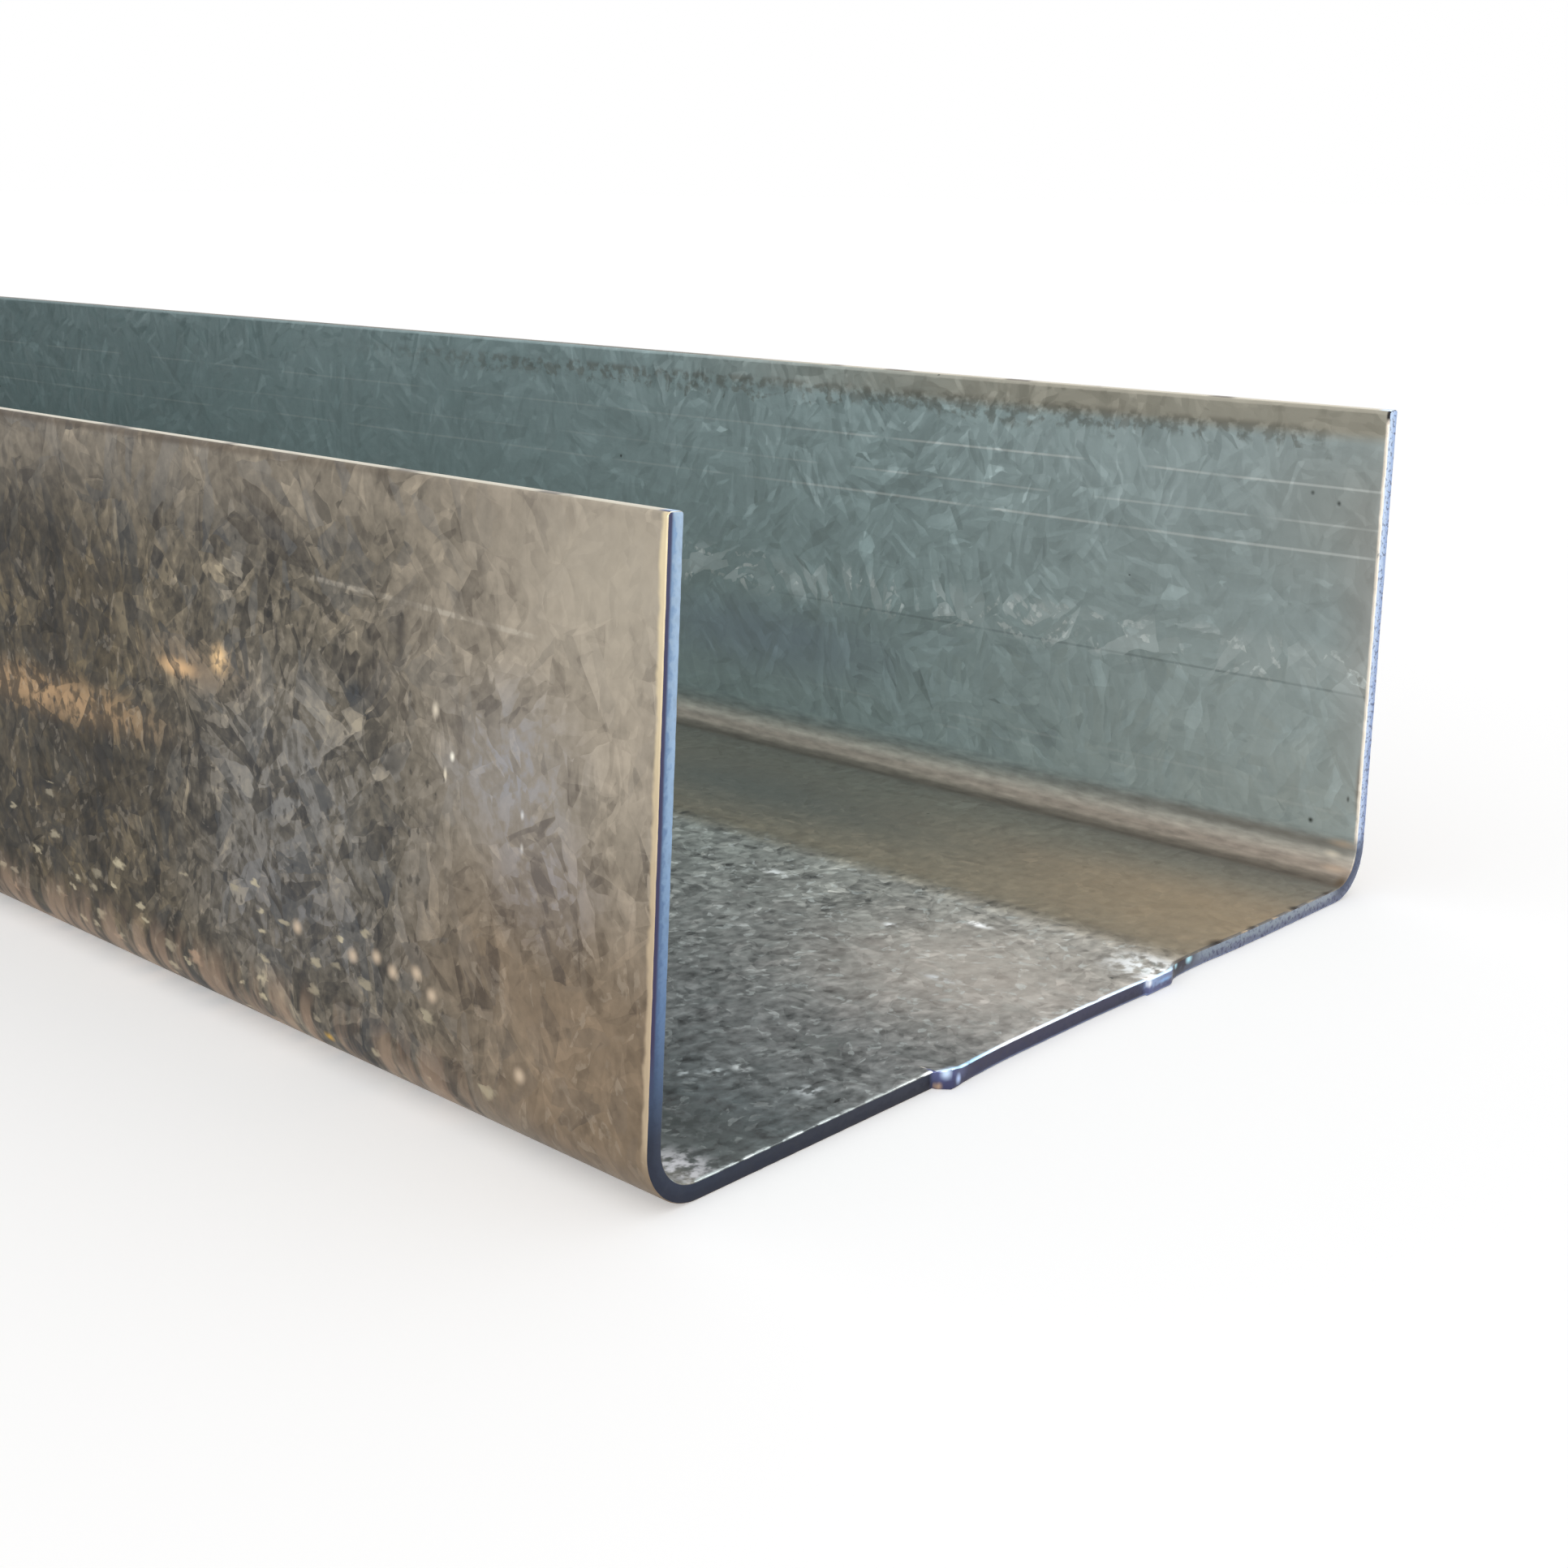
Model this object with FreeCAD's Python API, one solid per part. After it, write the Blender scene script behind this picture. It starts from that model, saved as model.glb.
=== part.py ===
"""Plain C-section purlin, roll-formed from galvanised strip as one piece, lying on its web with the flanges up.

Frame in millimetres: origin at the centre of the web's underside, +X along the length towards the rough cut
end, +Y across the web, +Z up along the flanges. The strip has one thickness all over, two bends, no lips and
no holes. Both flanges toe in a little, the -Y one more. The +X end was cut in two passes that miss each other
by a small step in the web: a bead of metal curls out beside the step, the second pass bows a little, and it ends
in a tab with a shallow notch behind it. The -X end is a plain square cut.
"""

import FreeCAD
import Part

import math
import os

Vector = FreeCAD.Vector

# Driving sizes of the section
WEB_WIDTH = 102.0
FLANGE_HEIGHT = 50.0
STRIP_THICKNESS = 1.5
INNER_BEND_RADIUS = 3.5
SLIT_EDGE_RADIUS = 0.35
TOE_IN_LEFT_DEG = 3.2
TOE_IN_RIGHT_DEG = 1.3

# Driving sizes of the length and of its rough end
LENGTH = 2400.0
CUT_STEP = 0.8
STEP_FROM_LEFT = 32.0
BEAD_WIDTH = 2.6
BEAD_REACH = 0.5
BOW_DEPTH = 0.3
TAB_FROM_LEFT = 61.4
TAB_REACH = 0.65
TAB_EDGE_WIDTH = 1.2
TAB_WIDTH = 8.6
NOTCH_DEPTH = 0.35
NOTCH_FADE = 9.0

# Sizes that follow from them
OUTER_BEND_RADIUS = INNER_BEND_RADIUS + STRIP_THICKNESS
HALF_WIDTH = WEB_WIDTH / 2
HALF_LENGTH = LENGTH / 2
DOWN = Vector(0, 0, -1)
LEFT, RIGHT = -1, 1


def across(y, z):
    """A point of the section, which lies in the YZ plane."""
    return Vector(0, y, z)


def arc_about(centre, radius, start_way, end_way):
    """The short arc about a centre, between two unit directions."""
    middle_way = (start_way + end_way).normalize()
    ends = [centre + way * radius for way in (start_way, middle_way, end_way)]
    return Part.Arc(*ends).toShape()


def line(start, end):
    return Part.LineSegment(start, end).toShape()


class Side:
    """One bend and its flange: the points where the section's straight runs begin and end."""

    def __init__(self, sign, toe_in_deg):
        lean = math.radians(toe_in_deg)
        self.outward = across(sign * math.cos(lean), math.sin(lean))
        self.upward = across(-sign * math.sin(lean), math.cos(lean))
        self.bend_centre = across(sign * (HALF_WIDTH - OUTER_BEND_RADIUS), OUTER_BEND_RADIUS)
        self.outer_foot = self.bend_centre + self.outward * OUTER_BEND_RADIUS
        self.inner_foot = self.bend_centre + self.outward * INNER_BEND_RADIUS
        self.outer_web = self.bend_centre + DOWN * OUTER_BEND_RADIUS
        self.inner_web = self.bend_centre + DOWN * INNER_BEND_RADIUS
        rise = (FLANGE_HEIGHT - self.outer_foot.z) / math.cos(lean)
        outer_tip = self.outer_foot + self.upward * rise
        self.outer_tip_centre = outer_tip - (self.outward + self.upward) * SLIT_EDGE_RADIUS
        tip_width = STRIP_THICKNESS - 2 * SLIT_EDGE_RADIUS
        self.inner_tip_centre = self.outer_tip_centre - self.outward * tip_width

    def outer_edges(self):
        """From the web's underside, round the bend and up the outer face."""
        top = self.outer_tip_centre + self.outward * SLIT_EDGE_RADIUS
        return [
            arc_about(self.bend_centre, OUTER_BEND_RADIUS, DOWN, self.outward),
            line(self.outer_foot, top),
        ]

    def tip_edges(self):
        """Over the slit edge, whose two arrises are rounded."""
        outer_end = self.outer_tip_centre + self.upward * SLIT_EDGE_RADIUS
        inner_start = self.inner_tip_centre + self.upward * SLIT_EDGE_RADIUS
        return [
            arc_about(self.outer_tip_centre, SLIT_EDGE_RADIUS, self.outward, self.upward),
            line(outer_end, inner_start),
            arc_about(self.inner_tip_centre, SLIT_EDGE_RADIUS, self.upward, self.outward * -1),
        ]

    def inner_edges(self):
        """Down the inner face and round the bend onto the web."""
        top = self.inner_tip_centre - self.outward * SLIT_EDGE_RADIUS
        return [
            line(top, self.inner_foot),
            arc_about(self.bend_centre, INNER_BEND_RADIUS, self.outward, DOWN),
        ]

    def edges(self):
        return self.outer_edges() + self.tip_edges() + self.inner_edges()


def section_face():
    """The whole strip section as one closed face, flanges up."""
    left = Side(LEFT, TOE_IN_LEFT_DEG)
    right = Side(RIGHT, TOE_IN_RIGHT_DEG)
    underside = line(left.outer_web, right.outer_web)
    web_top = line(right.inner_web, left.inner_web)
    loop = [underside, web_top] + left.edges() + right.edges()
    return Part.Face(Part.Wire(Part.__sortEdges__(loop)))


def stock_outline():
    """The length in plan, as the cuts leave it: square at -X, stepped and burred at +X."""
    beyond = WEB_WIDTH
    cut_x = HALF_LENGTH - max(TAB_REACH, BEAD_REACH)
    step_y = STEP_FROM_LEFT - HALF_WIDTH
    bead_end_y = step_y + BEAD_WIDTH
    tab_y = TAB_FROM_LEFT - HALF_WIDTH
    notch_y = tab_y + TAB_WIDTH

    def plan(past_cut, y):
        return Vector(cut_x + past_cut, y, 0)

    back_left = Vector(-HALF_LENGTH, -beyond, 0)
    first_pass_left = plan(-CUT_STEP, -beyond)
    first_pass_end = plan(-CUT_STEP, step_y)
    bead_start = plan(0, step_y)
    bead_tip = plan(BEAD_REACH, step_y + BEAD_WIDTH / 2)
    bow_start = plan(BOW_DEPTH, bead_end_y)
    bow_middle = plan(0, (bead_end_y + tab_y) / 2)
    bow_end = plan(BOW_DEPTH, tab_y)
    tab_tip = plan(TAB_REACH, tab_y + TAB_EDGE_WIDTH)
    notch = plan(-NOTCH_DEPTH, notch_y)
    straight_start = plan(0, notch_y + NOTCH_FADE)
    second_pass_right = plan(0, beyond)
    back_right = Vector(-HALF_LENGTH, beyond, 0)
    edges = [
        line(back_left, first_pass_left),
        line(first_pass_left, first_pass_end),
        line(first_pass_end, bead_start),
        Part.Arc(bead_start, bead_tip, bow_start).toShape(),
        Part.Arc(bow_start, bow_middle, bow_end).toShape(),
        line(bow_end, tab_tip),
        line(tab_tip, notch),
        line(notch, straight_start),
        line(straight_start, second_pass_right),
        line(second_pass_right, back_right),
        line(back_right, back_left),
    ]
    return Part.Face(Part.Wire(edges))


def purlin():
    """The rolled strip, cut to length."""
    rolled = section_face().extrude(Vector(LENGTH, 0, 0))
    rolled.translate(Vector(-HALF_LENGTH, 0, 0))
    cut_prism = stock_outline().extrude(Vector(0, 0, 2 * FLANGE_HEIGHT))
    cut_prism.translate(Vector(0, 0, -FLANGE_HEIGHT / 2))
    return rolled.common(cut_prism).Solids[0]


def main():
    os.makedirs("parts", exist_ok=True)
    solid = purlin()
    box = solid.BoundBox
    print(f"purlin: valid {solid.isValid()}, volume {solid.Volume:.0f} mm3")
    print(f"size {box.XLength:.2f} x {box.YLength:.2f} x {box.ZLength:.2f} mm, lowest z {box.ZMin:.3f}")
    solid.exportStep("parts/purlin.step")


main()
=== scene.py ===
# %% [markdown]
# # A plain galvanised purlin
# The object is one length of zinc-coated steel strip, rolled into a channel and cut off. This lesson
# loads the measured part, rolls a finer strip in its place with Geometry Nodes, and then spends most of
# its cells on the finish: the spangled zinc, its stains and roll marks, and the raw cut end.

# %% Load the measured part
import math

import bpy
from mathutils import Matrix, Vector


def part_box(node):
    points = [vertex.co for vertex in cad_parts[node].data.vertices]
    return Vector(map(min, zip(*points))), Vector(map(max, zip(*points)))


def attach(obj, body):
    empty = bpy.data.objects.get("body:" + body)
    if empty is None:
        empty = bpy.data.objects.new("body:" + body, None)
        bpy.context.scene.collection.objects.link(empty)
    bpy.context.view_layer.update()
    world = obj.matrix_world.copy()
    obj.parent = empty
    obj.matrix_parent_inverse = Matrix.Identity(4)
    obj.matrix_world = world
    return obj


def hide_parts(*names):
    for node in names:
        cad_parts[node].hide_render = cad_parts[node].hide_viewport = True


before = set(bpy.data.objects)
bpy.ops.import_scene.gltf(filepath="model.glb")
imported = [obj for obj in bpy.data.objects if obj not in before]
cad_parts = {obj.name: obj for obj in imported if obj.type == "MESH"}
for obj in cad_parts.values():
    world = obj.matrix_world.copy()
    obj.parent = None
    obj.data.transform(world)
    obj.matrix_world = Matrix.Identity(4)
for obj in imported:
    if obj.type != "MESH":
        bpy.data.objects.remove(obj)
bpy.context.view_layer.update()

MM = 0.001
low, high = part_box("purlin")
print("measured part, mm:", [round((b - a) / MM, 2) for a, b in zip(low, high)])

# %% [markdown]
# The strip follows a rule: one section, the same all along the length. The sizes below are the measured
# part's own, in metres. The length is read from the frame, so the strip can't drift from the part it
# stands for.

# %% Sizes of the strip
LENGTH = high[0] - low[0]
WEB_WIDTH = 102.0 * MM
FLANGE_HEIGHT = 50.0 * MM
STRIP_THICKNESS = 1.5 * MM
INNER_BEND_RADIUS = 3.5 * MM
TOE_IN_LEFT = math.radians(3.2)
TOE_IN_RIGHT = math.radians(1.3)
CUT_STEP = 0.8 * MM
STEP_FROM_LEFT = 32.0 * MM
TAB_FROM_LEFT = 61.4 * MM
TAB_REACH = 0.65 * MM
CUT_X = LENGTH / 2 - TAB_REACH
print("cut plane at x =", round(CUT_X, 4), "m")

# %% [markdown]
# Geometry trees and shader trees share many node types, so a few short helpers serve both. A field here
# stands for one output of a node. Python's signs between fields and numbers add Math nodes to the field's
# own tree, so a formula reads as it would on paper, and square brackets reach the node's other outputs.

# %% Fields: node outputs that can be reckoned with
class Field:
    """One output of a node, in the tree that the node belongs to."""

    def __init__(self, socket):
        self.socket = socket
        self.node = socket.node
        self.tree = socket.id_data

    def __getitem__(self, output):
        return Field(self.node.outputs[output])

    def __add__(self, other):
        return calc("ADD", self, other)

    def __sub__(self, other):
        return calc("SUBTRACT", self, other)

    def __rsub__(self, other):
        return calc("SUBTRACT", other, self)

    def __mul__(self, other):
        return calc("MULTIPLY", self, other)

    def __truediv__(self, other):
        return calc("DIVIDE", self, other)

    def __rtruediv__(self, other):
        return calc("DIVIDE", other, self)

    def __pow__(self, other):
        return calc("POWER", self, other)


def feed(socket, term):
    """Links an input to a field, or sets its value; None leaves it as it is."""
    if isinstance(term, Field):
        socket.id_data.links.new(term.socket, socket)
    elif term is not None:
        socket.default_value = term


def add(tree, kind, *terms, **settings):
    """Adds a node with its settings, feeds its inputs in order, and gives its first output in use."""
    node = tree.nodes.new(kind)
    for name, value in settings.items():
        setattr(node, name, value)
    for socket, term in zip([s for s in node.inputs if s.enabled], terms):
        feed(socket, term)
    return Field(next(s for s in node.outputs if s.enabled))


def tree_of(*terms):
    """The tree that the fields among the terms belong to."""
    return next(term.tree for term in terms if isinstance(term, Field))


# %% Helpers for both kinds of tree
FLOAT, VECTOR, GEOMETRY = "NodeSocketFloat", "NodeSocketVector", "NodeSocketGeometry"


def calc(operation, *terms):
    return add(tree_of(*terms), "ShaderNodeMath", *terms, operation=operation)


def move(operation, *terms):
    """Vector arithmetic."""
    return add(tree_of(*terms), "ShaderNodeVectorMath", *terms, operation=operation)


def ease(value, start, end):
    """Rises smoothly from 0 at start to 1 at end; start may be the larger of the two."""
    return add(value.tree, "ShaderNodeMapRange", value, start, end, 0.0, 1.0,
               interpolation_type="SMOOTHSTEP")


def pick(share, without, instead):
    """A number between two others."""
    return add(share.tree, "ShaderNodeMix", share, without, instead, data_type="FLOAT")


def vector(x=0.0, y=0.0, z=0.0):
    return add(tree_of(x, y, z), "ShaderNodeCombineXYZ", x, y, z)


def parts_of(field):
    """The three numbers of a vector."""
    apart = add(field.tree, "ShaderNodeSeparateXYZ", field)
    return [apart[axis] for axis in range(3)]


def noise(place, scale, detail=2.0):
    return add(place.tree, "ShaderNodeTexNoise", place, scale, detail, noise_dimensions="2D")


def new_tree(name, kind, inputs, outputs):
    """A node group with named sockets; inputs are (name, socket type, default)."""
    tree = bpy.data.node_groups.new(name, kind)
    for label, socket_type, default in inputs:
        socket = tree.interface.new_socket(label, in_out="INPUT", socket_type=socket_type)
        if default is not None:
            socket.default_value = default
    for label, socket_type in outputs:
        tree.interface.new_socket(label, in_out="OUTPUT", socket_type=socket_type)
    given = Field(tree.nodes.new("NodeGroupInput").outputs[0])
    result = tree.nodes.new("NodeGroupOutput").inputs
    return tree, given, result


# %% [markdown]
# A roll former bends a flat strip a little at each stand, until the section is reached. In Blender the
# section could be drawn by hand and extruded, but here a Geometry Nodes tree works it out from the sizes:
# four corner points of the inner face, filleted to the bend radius, become the columns of a grid whose
# rows run along the length. The face is then extruded by the strip's thickness. The rows crowd towards
# the cut end, which the picture shows from close by.

# %% The section's corners on one side
STRIP_SIZES = [
    ("Length", LENGTH),
    ("Web Width", WEB_WIDTH),
    ("Flange Height", FLANGE_HEIGHT),
    ("Thickness", STRIP_THICKNESS),
    ("Bend Radius", INNER_BEND_RADIUS),
    ("Toe In Left", TOE_IN_LEFT),
    ("Toe In Right", TOE_IN_RIGHT),
    ("Cut X", CUT_X),
    ("Step From Left", STEP_FROM_LEFT),
    ("Tab From Left", TAB_FROM_LEFT),
]


def side_points(size, sign, toe_in):
    """The inner face's corner and flange tip on one side, before the corner is rounded."""
    radius, thickness = size["Bend Radius"], size["Thickness"]
    outer_radius = radius + thickness
    centre_y = size["Web Width"] * 0.5 - outer_radius
    sine = calc("SINE", toe_in)
    cosine = calc("COSINE", toe_in)
    half_turn = toe_in * 0.5 + math.pi / 4
    corner_y = centre_y + radius * calc("TANGENT", half_turn)
    foot_y = radius * cosine + centre_y
    foot_z = radius * sine + outer_radius
    outer_foot_z = outer_radius * sine + outer_radius
    rise = (size["Flange Height"] - outer_foot_z) / cosine
    tip_y = foot_y - rise * sine
    tip_z = rise * cosine + foot_z
    return vector(0.0, corner_y * sign, thickness), vector(0.0, tip_y * sign, tip_z)


# %% The section as a curve
BEND_STEPS = 12
COLUMN_SPACING = 0.45 * MM


def section_curve(tree, size):
    """Flange tip to flange tip along the inner face, rounded at the bends and cut into columns."""
    left_corner, left_tip = side_points(size, -1.0, size["Toe In Left"])
    right_corner, right_tip = side_points(size, 1.0, size["Toe In Right"])
    four = add(tree, "GeometryNodeCurvePrimitiveQuadrilateral", mode="POINTS")
    for number, point in enumerate((left_tip, left_corner, right_corner, right_tip), 1):
        feed(four.node.inputs[f"Point {number}"], point)
    opened = add(tree, "GeometryNodeSetSplineCyclic", four)
    feed(opened.node.inputs["Cyclic"], False)
    rounded = add(tree, "GeometryNodeFilletCurve", opened, mode="POLY")
    feed(rounded.node.inputs["Count"], BEND_STEPS)
    feed(rounded.node.inputs["Radius"], size["Bend Radius"])
    here = add(tree, "GeometryNodeSplineParameter")["Length"]
    index = add(tree, "GeometryNodeInputIndex")
    span = add(tree, "GeometryNodeFieldAtIndex", here, index + 1.0, data_type="FLOAT") - here
    cuts = calc("FLOOR", span / COLUMN_SPACING)
    return add(tree, "GeometryNodeSubdivideCurve", rounded, calc("MAXIMUM", cuts, 0.0))


# %% [markdown]
# The cut end will have two sharp steps in the web. A grid can only step sharply where two of its columns
# lie close together, so the columns beside each step are pulled up to it from both sides.

# %% Columns beside the steps
STEP_SLIVER = 0.04 * MM


def beside_step(size, y, step_name):
    """How far a column moves across the web to lie beside a step; zero away from it."""
    past = y + size["Web Width"] * 0.5 - size[step_name]
    near = calc("LESS_THAN", calc("ABSOLUTE", past), COLUMN_SPACING * 0.99)
    target = calc("SIGN", past) * STEP_SLIVER
    return near * (target - past)


# %% The flat sheet, bent to the section
ROWS = 60
ROW_CROWDING = 1.8


def keep(geometry, name, value, data_type, domain="POINT", chosen=None):
    """Stores a value on a geometry as a named attribute."""
    return add(geometry.tree, "GeometryNodeStoreNamedAttribute", geometry, chosen, name, value,
               data_type=data_type, domain=domain)


def rolled_sheet(tree, size, whole):
    """The inner face; each point keeps its place on the flat strip as the attribute sheet."""
    curve = section_curve(tree, size)
    count = add(tree, "GeometryNodeAttributeDomainSize", curve, component="CURVE")["Point Count"]
    grid = add(tree, "GeometryNodeMeshGrid", 1.0, 1.0, count, ROWS + 1)
    place = parts_of(add(tree, "GeometryNodeInputPosition"))
    column = calc("ROUND", (place[0] + 0.5) * (count - 1.0))
    from_cut = 0.5 - place[1]

    def at_column(field, data_type):
        return add(tree, "GeometryNodeSampleIndex", curve, field, column,
                   data_type=data_type, domain="POINT")

    _, y, z = parts_of(at_column(add(tree, "GeometryNodeInputPosition"), "FLOAT_VECTOR"))
    developed = at_column(add(tree, "GeometryNodeSplineParameter")["Length"], "FLOAT")
    pull = beside_step(size, y, "Step From Left") + beside_step(size, y, "Tab From Left")
    back = whole * from_cut ** ROW_CROWDING
    x = size["Cut X"] - back
    sheet = keep(grid, "sheet", vector(x, developed + pull, back), "FLOAT_VECTOR")
    return add(tree, "GeometryNodeSetPosition", sheet, None, vector(x, y + pull, z))


# %% The strip's thickness
WELD_GAP = 0.002 * MM


def thickened(sheet, thickness):
    """The sheet and its outer copy as one closed skin; the attribute depth is 1 on the outer side."""
    thick = add(sheet.tree, "GeometryNodeExtrudeMesh", sheet, mode="FACES")
    feed(thick.node.inputs["Offset Scale"], thickness)
    feed(thick.node.inputs["Individual"], False)
    outer = keep(thick["Mesh"], "depth", 1.0, "FLOAT", chosen=thick["Top"])
    inner = add(sheet.tree, "GeometryNodeFlipFaces", sheet)
    both = add(sheet.tree, "GeometryNodeJoinGeometry")
    for skin in (inner, outer):
        feed(both.node.inputs[0], skin)
    closed = add(sheet.tree, "GeometryNodeMergeByDistance", both)
    feed(closed.node.inputs["Distance"], WELD_GAP)
    return closed


# %% The rolled strip
ARRIS_ANGLE = 1.0
CUT_SHARPNESS = 0.4


def arris_weight(tree, size, whole):
    """How far each edge is rounded later: fully along the slit edges, less at the two cut ends."""
    angle = add(tree, "GeometryNodeInputMeshEdgeAngle")["Unsigned Angle"]
    arris = calc("GREATER_THAN", angle, ARRIS_ANGLE)
    edge_x = parts_of(add(tree, "GeometryNodeInputPosition"))[0]
    half = whole * 0.5
    from_middle = calc("ABSOLUTE", edge_x - (size["Cut X"] - half))
    at_end = calc("GREATER_THAN", from_middle, half - WELD_GAP)
    return arris * (at_end * (CUT_SHARPNESS - 1.0) + 1.0)


def strip_tree():
    """The tree that rolls the strip, with a square end at the cut plane."""
    inputs = [(name, FLOAT, value) for name, value in STRIP_SIZES]
    tree, size, result = new_tree("rolled strip", "GeometryNodeTree", inputs, [("Strip", GEOMETRY)])
    whole = size["Length"] * 0.5 + size["Cut X"]
    closed = thickened(rolled_sheet(tree, size, whole), size["Thickness"])
    weighted = keep(closed, "bevel_weight_edge", arris_weight(tree, size, whole), "FLOAT", "EDGE")
    smooth = add(tree, "GeometryNodeSetShadeSmooth", weighted)
    feed(result[0], add(tree, "GeometryNodeRealizeInstances", smooth))
    return tree


# %% [markdown]
# The end was cut in two passes from the two sides. The left pass stopped short, so it lies a little
# behind the other. A bead of metal curled out beside this step, and the second pass bows, ends in a tab
# and has a notch behind the tab. Modelling this by hand would mean moving vertices one by one. Instead a
# second tree, placed after the arrises are rounded, pushes the end of each column along the length by its
# own amount, adds a slight raggedness, and says which faces are raw steel. How far each column goes is
# drawn as a curve across the web.

# %% Where each column ends
BEAD_LIFT = 0.3 * MM
BEAD_REACH = 0.5 * MM
BEAD_WIDTH = 2.6 * MM
RAGGED = 0.09 * MM
CUT_SIZES = [
    ("Web Width", WEB_WIDTH),
    ("Flange Height", FLANGE_HEIGHT),
    ("Thickness", STRIP_THICKNESS),
    ("Cut Step", CUT_STEP),
    ("Step From Left", STEP_FROM_LEFT),
    ("Bead Reach", BEAD_REACH),
    ("Bead Width", BEAD_WIDTH),
    ("Tab From Left", TAB_FROM_LEFT),
    ("Ragged", RAGGED),
    ("Bead Lift", BEAD_LIFT),
]
BEFORE_TAB = [(34.0, 0.36), (38.0, 0.12), (43.0, 0.0), (50.0, 0.0), (57.0, 0.1), (61.4, 0.26)]
AFTER_TAB = [(61.4, 0.5), (61.9, 0.64), (62.8, 0.65), (65.4, 0.42), (66.4, -0.05), (68.5, -0.3),
             (70.5, -0.34), (75.0, -0.2), (80.0, -0.06), (90.0, 0.0), (102.0, 0.0)]


def profile(from_left, points):
    """A curve across the web, drawn through points of (from left, past the cut) in millimetres."""
    drawn = add(from_left.tree, "ShaderNodeFloatCurve")
    curve = drawn.node.mapping.curves[0]
    while len(curve.points) < len(points):
        curve.points.new(0.5, 0.5)
    for point, (across, past) in zip(curve.points, points):
        point.location = (across / (WEB_WIDTH / MM), past + 0.5)
        point.handle_type = "AUTO_CLAMPED"
    drawn.node.mapping.update()
    feed(drawn.node.inputs["Value"], from_left / WEB_WIDTH)
    return (drawn - 0.5) * MM


def cut_push(size, y):
    """How far the end of a column lies past the cut plane, and how much of it is the bead."""
    from_left = y + size["Web Width"] * 0.5
    past_step = from_left - size["Step From Left"]
    across_bead = past_step / size["Bead Width"]
    round_part = calc("MAXIMUM", 1.0 - across_bead * 2.5, 0.0)
    rise = calc("SQRT", 1.0 - round_part * round_part)
    set_back = size["Cut Step"] * -1.0
    curl = pick(rise, set_back, size["Bead Reach"])
    after_bead = ease(across_bead, 0.4, 1.0)
    before_tab = pick(after_bead, curl, profile(from_left, BEFORE_TAB))
    past_tab = calc("GREATER_THAN", from_left, size["Tab From Left"])
    second_pass = pick(past_tab, before_tab, profile(from_left, AFTER_TAB))
    past = calc("GREATER_THAN", past_step, 0.0)
    bead = rise * past * (1.0 - after_bead)
    return pick(past, set_back, second_pass), bead


# %% How the end moves
CUT_FADE = 14.0 * MM
TEETH_SCALE = 900.0
LIFT_FADE = 6.0


def cut_move(size, place, back):
    """The way that each point near the cut goes: along the length, and up on top of the bead."""
    near_cut = calc("MAXIMUM", 1.0 - back / CUT_FADE, 0.0)
    push, bead = cut_push(size, place[1])
    teeth = noise(vector(place[1], place[2]), TEETH_SCALE, 3.0)
    shift = (push + (teeth - 1.0) * size["Ragged"]) * near_cut
    lift = bead * near_cut ** LIFT_FADE * size["Bead Lift"]
    upper = calc("GREATER_THAN", place[2], size["Thickness"] * 0.5)
    return vector(shift, 0.0, lift * upper)


# %% Which faces are raw steel
FACING = 0.85
SLIT_DEPTH = 1.0 * MM


def raw_faces(tree, size, place):
    """Masks of the cut ends, the slit edges and the wall of the step."""
    facing = parts_of(add(tree, "GeometryNodeInputNormal"))
    end_face = calc("GREATER_THAN", calc("ABSOLUTE", facing[0]), FACING)
    high_up = calc("GREATER_THAN", place[2], size["Flange Height"] - SLIT_DEPTH)
    slit_face = calc("GREATER_THAN", facing[2], FACING) * high_up
    steep = calc("GREATER_THAN", calc("ABSOLUTE", facing[1]), 0.5)
    low_down = calc("LESS_THAN", place[2], size["Thickness"] * 2.0)
    off_bend = calc("LESS_THAN", calc("ABSOLUTE", place[1]), size["Web Width"] * 0.4)
    return end_face, slit_face, steep * low_down * off_bend


# %% [markdown]
# A program without these nodes needs the finish as a picture, so the strip also carries a map of itself.
# Blender could unwrap it, but a strip this long would leave the cut end only a few pixels. The map is
# therefore laid out in bands: the first stretch of the inner and of the outer face take most of
# the height, the rest of the length is squeezed into two thin bands, and the two ends lie at the top.

# %% A flat map of the strip
STRIP_WIDTH = 193.0 * MM
FRONT_REACH = 340.0 * MM
BAND_OVERLAP = 30.0 * MM
FRONT_BANDS = (0.004, 0.386)
FRONT_HEIGHT = 0.374
REST_BANDS = (0.768, 0.871)
REST_HEIGHT = 0.095
END_BANDS = (0.974, 0.988)
END_HEIGHT = 0.008
MAP_MARGIN = 0.005


def per_face(field):
    """One value for a whole face: the average of its corners."""
    return add(field.tree, "GeometryNodeFieldOnDomain", field, data_type="FLOAT", domain="FACE")


def spread_over(value, start, end):
    """Zero to one from start to end, inside a small margin."""
    return add(value.tree, "ShaderNodeMapRange", value, start, end, MAP_MARGIN, 1.0 - MAP_MARGIN)


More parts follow.
